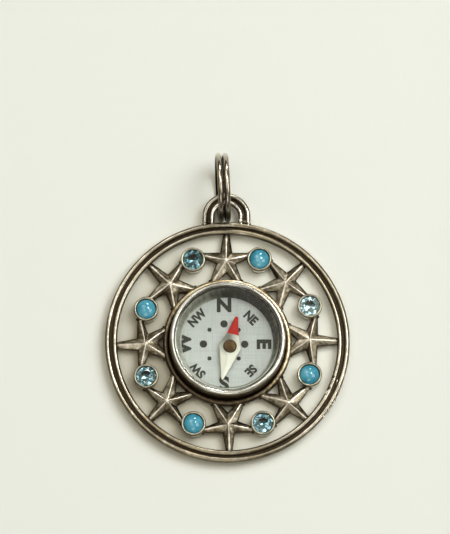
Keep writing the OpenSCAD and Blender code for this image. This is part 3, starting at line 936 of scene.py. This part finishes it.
enamel = needleMaterial("needleEnamel", needleLook, pivot, needleShape["turn"])
brass = plainMaterial("turnedDarkBrass", "#45331B", {"Metallic": 1.0, "Roughness": 0.34})
addPiece("needle_blade", needleForm(needleShape), enamel, "needle", ["needle"])
form = lathe(capProfile(**capShape), capShape["sections"], (pivot.x / mm, pivot.y / mm))
addPiece("needle_hub", form, brass, "needle", ["needle_cap"])

# Print on the dial: eight directions and eight dots
printShape = dict(
    centre=(-0.5, -0.27), bold=0.05, halfThick=0.01, dotAt=3.2, dotSections=40,
    # letters: size, distance and stretch, then the width of the dot
    cardinal=(2.3, 6.2, 1.35, 1.15), between=(1.5, 5.9, 1.12, 0.65),
)


def letterForm(text, size, stretch):
    # A word of the built-in font made a mesh, centred and stretched
    curve = bpy.data.curves.new(text, "FONT")
    curve.body = text
    curve.size = size
    curve.offset = printShape["bold"] * size
    curve.extrude = printShape["halfThick"]
    curve.resolution_u = 6
    holder = addObject(text, curve)
    mesh = bpy.data.meshes.new_from_object(holder.evaluated_get(bpy.context.evaluated_depsgraph_get()))
    points = np.array([v.co for v in mesh.vertices])
    faces = [list(f.vertices) for f in mesh.polygons]
    bpy.data.objects.remove(holder)
    low, high = points.min(axis=0), points.max(axis=0)
    return (points - (low + high) / 2) * [stretch, size / (high[1] - low[1]), 1], faces


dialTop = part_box("dial")[1].z / mm
printLow, printHigh = dialTop - printShape["halfThick"], dialTop + printShape["halfThick"]
printMiddle = np.array(printShape["centre"])
inkPoints, inkFaces = [], []
for j, text in enumerate(["N", "NE", "E", "SE", "S", "SW", "W", "NW"]):
    direction = 45 * j
    size, distance, stretch, dot = printShape["cardinal" if len(text) == 1 else "between"]
    # each word stands with its top away from the dial's middle
    letters, letterFaces = letterForm(text, size, stretch)
    place = printMiddle + polar(distance, direction)
    letters = turnedClockwise(letters, direction) + [*place, dialTop]
    disc = lathe([[0, printLow], [dot / 2, printLow], [dot / 2, printHigh], [0, printHigh]],
                 printShape["dotSections"], printMiddle + polar(printShape["dotAt"], direction))
    for points, faces in ((letters, letterFaces), (disc[0], disc[1].tolist() + disc[2].tolist())):
        start = sum(len(p) for p in inkPoints)
        inkPoints.append(points)
        inkFaces += [[start + v for v in face] for face in faces]
printMesh = bpy.data.meshes.new("dial_print")
printMesh.from_pydata((np.vstack(inkPoints) * mm).tolist(), [], inkFaces)
printMesh.materials.append(plainMaterial("printedCharcoalInk", "#242620",
                                         {"Roughness": 0.5, "Specular IOR Level": 0.1}))
dialPrint = addObject("dial_print", printMesh)
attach(dialPrint, "pendant")


def dress(name, material):
    # A CAD node keeps its mesh and takes a finish
    nodes[name].data.materials.clear()
    nodes[name].data.materials.append(material)


dress("dial", dialMaterial("brushedDialAluminium"))
dress("pivot_pin", plainMaterial("turnedPivotSteel", "#9A9A9C", {"Metallic": 1.0, "Roughness": 0.3}))
dress("glass", clearMaterial("flatCompassGlass", "#FBFDFC", 1.45, "#F4F7F6"))
print("dial, needle and glass are in")

# Stones
cabochonShape = dict(radius=1.54, low=2.0, top=3.3, dome=1.9, sections=72)
topazColours = dict(topaz_1="#A5C4CB", topaz_2="#769EAA", topaz_3="#73969E", topaz_4="#587C84")


def cabochonProfile(radius, low, top, dome, **others):
    # From the middle of the flat base out to the edge, and over a dome that is part of a ball
    lean = math.degrees(math.asin(radius / dome))
    line = [[0, low], [radius, low], *arcPoints((0, top - dome), dome, 90 - lean, 90, 20)]
    return softened(line, step=0.07, width=0.1, closed=False)


turquoise = turquoiseMaterial("polishedTurquoise")
for direction, distance, stone in cupPlaces:
    if stone.startswith("turquoise"):
        form = lathe(cabochonProfile(**cabochonShape), cabochonShape["sections"], polar(distance, direction))
        addPiece(stone.replace("turquoise", "cabochon"), form, turquoise, "pendant", [stone])
    else:
        dress(stone, clearMaterial(f"cutBlueTopaz_{stone[-1]}", topazColours[stone], 1.62, "#D8ECF2", 0.04))
print("stones are set")

# Floor, lights and camera
floorMesh = bpy.data.meshes.new("floor")
floorReach = 600
floorCorners = np.array([(-1, -1, 0), (1, -1, 0), (1, 1, 0), (-1, 1, 0)]) * floorReach * mm
floorMesh.from_pydata(floorCorners.tolist(), [], [(0, 1, 2, 3)])
floorMesh.materials.append(boardMaterial("paleIvoryBoard", boardLook))
floor = addObject("floor", floorMesh)

cameraShape = dict(
    tilt=12.75,  # of the view axis from straight down
    azimuth=7.0,  # how far the camera stands to the left
    distance=600,
    framed=(-0.31, 12.03), # the picture's centre, right of and above the case's middle
    height=82.92,  # what the picture's height takes in
    sensor=36,
)
tilt, azimuth = math.radians(cameraShape["tilt"]), math.radians(cameraShape["azimuth"])
cameraBack = Vector((-math.sin(tilt) * math.sin(azimuth), -math.sin(tilt) * math.cos(azimuth),
                     math.cos(tilt)))
cameraRight = Vector((0, 1, 0)).cross(cameraBack).normalized()
cameraUp = cameraBack.cross(cameraRight)
framedRight, framedUp = cameraShape["framed"]
camera = addObject("camera", bpy.data.cameras.new("camera"))
camera.data.sensor_width = cameraShape["sensor"]
camera.data.lens = cameraShape["sensor"] * cameraShape["distance"] / cameraShape["height"]
camera.data.clip_start, camera.data.clip_end = 0.05, 5
aim = (cameraRight * framedRight + cameraUp * framedUp) * mm
camera.location = aim + cameraBack * cameraShape["distance"] * mm
camera.rotation_mode = "QUATERNION"
camera.rotation_quaternion = Matrix((cameraRight, cameraUp, cameraBack)).transposed().to_quaternion()
bpy.context.scene.camera = camera

# Lamps seven tenths of a metre away. Three big soft ones light the board, paint and stones; the others only
# shine in what is polished, as windows and white cards round a table do.
lampDistance = 700
lamps = [
    # name, direction (clockwise from up), angle from straight up, width, power, colour, only shines
    ("above", 20, 6, 600, 2.15, "#FFFAF2", False),
    ("key", 60, 29, 400, 2.75, "#F3F9FF", False),
    ("fill", 260, 50, 500, 0.45, "#FFFBF2", False),
    ("right", 100, 40, 330, 1.3, "#FDFEFF", True),
    ("upperRight", 50, 26, 170, 1.5, "#FDFEFF", True),
    ("far", 12, 60, 130, 1.1, "#FFFFFF", True),
    ("upperLeft", 322, 38, 360, 1.1, "#FDFEFF", True),
    ("overhead", 257, 18, 280, 0.6, "#FDFEFF", True),
    ("front", 185, 50, 280, 0.7, "#FDFEFF", True),
]
for name, direction, lean, width, power, colour, onlyShines in lamps:
    data = bpy.data.lights.new(name, "AREA")
    data.shape = "SQUARE"
    data.size = width * mm
    data.energy = power
    data.color = linearColour(colour)[:3]
    lamp = addObject(name, data)
    lamp.visible_diffuse = not onlyShines
    lamp.visible_glossy = lamp.visible_transmission = onlyShines
    sideways = polar(math.sin(math.radians(lean)), direction)
    towards = Vector((*sideways, math.cos(math.radians(lean))))
    lamp.location = towards * lampDistance * mm
    lamp.rotation_mode = "QUATERNION"
    lamp.rotation_quaternion = towards.to_track_quat("Z", "Y")

# The room: pale above, brown and dim towards the horizon
world = bpy.data.worlds.new("room")
bpy.context.scene.world = world
world.use_nodes = True
roomTree = world.node_tree
roomTree.nodes.clear()
looking = addNode(roomTree, "ShaderNodeTexCoord", output="Generated")
upwards = addNode(roomTree, "ShaderNodeSeparateXYZ", [looking], "Z")
sky = addNode(roomTree, "ShaderNodeValToRGB", [upwards],
              stops=[(0.0, "#4A3F2E"), (0.45, "#857B68"), (0.9, "#DFD8C4")])
room = addNode(roomTree, "ShaderNodeBackground", {"Color": sky, "Strength": 0.6})
addNode(roomTree, "ShaderNodeOutputWorld", {"Surface": room})
bpy.context.scene.view_settings.view_transform = "Standard"
print("floor, lights and camera are set")
